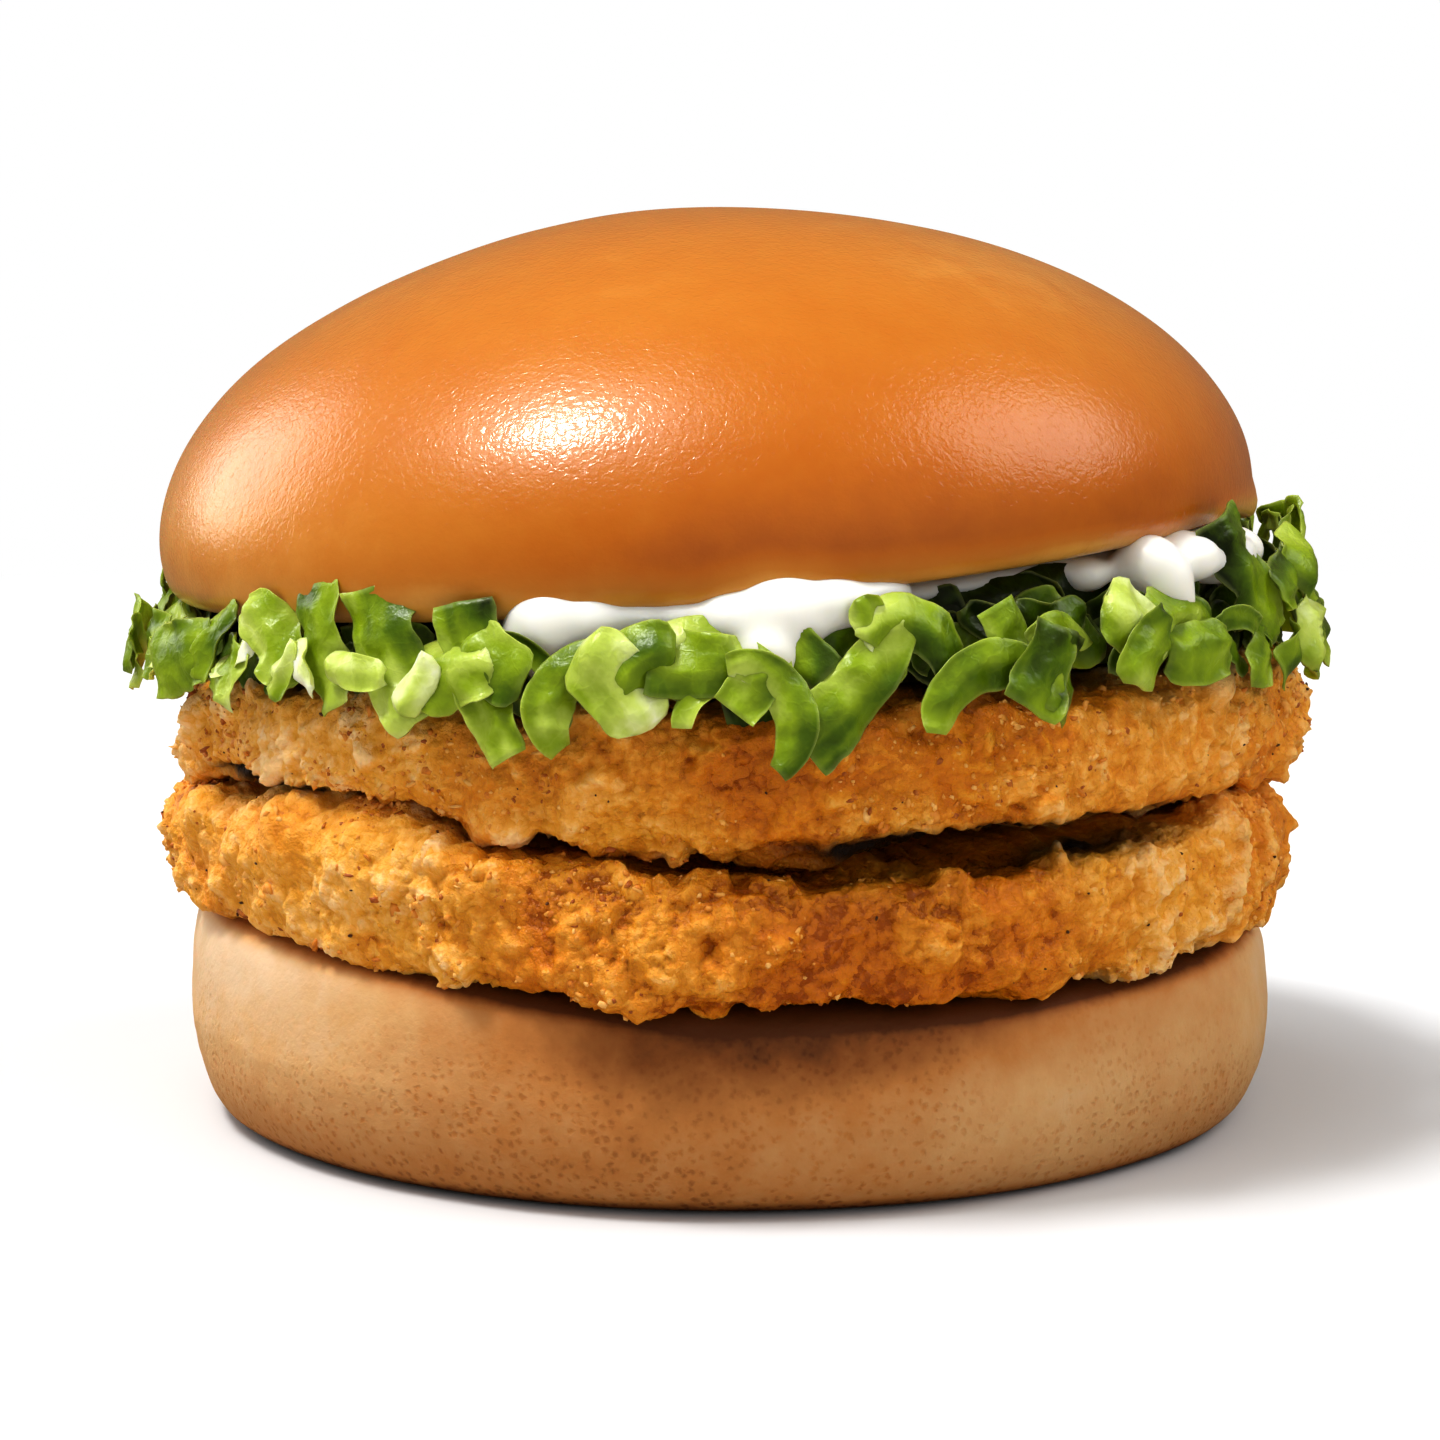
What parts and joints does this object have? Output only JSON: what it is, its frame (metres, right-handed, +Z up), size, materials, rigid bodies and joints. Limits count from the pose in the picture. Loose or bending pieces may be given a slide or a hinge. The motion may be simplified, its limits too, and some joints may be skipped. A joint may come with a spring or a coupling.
{
  "type": "chicken burger",
  "caption": "Round bun cut in two with breaded chicken patties, shredded lettuce and mayonnaise stacked between its halves.",
  "frame": {"origin": "centre of the flat underside of the bun's bottom half, on the surface it stands on", "axes": "+Z up through the stack; -Y towards the side where the mayonnaise and the hanging shreds show most; +X to the right of that side"},
  "size_m": [0.1131, 0.1073, 0.0839],
  "materials": {
    "glazed_crust": "satin, egg-washed and baked",
    "pale_crust": "matt, baked",
    "breading": "rough, fried crumb",
    "lettuce": "moist leaf",
    "mayonnaise": "glossy, wet"
  },
  "bodies": {
    "root": {"heel": "pale_crust", "patty_lower": "breading", "patty_upper": "breading", "lettuce": "lettuce", "mayonnaise": "mayonnaise", "crown": "glazed_crust"}
  },
  "joints": []
}
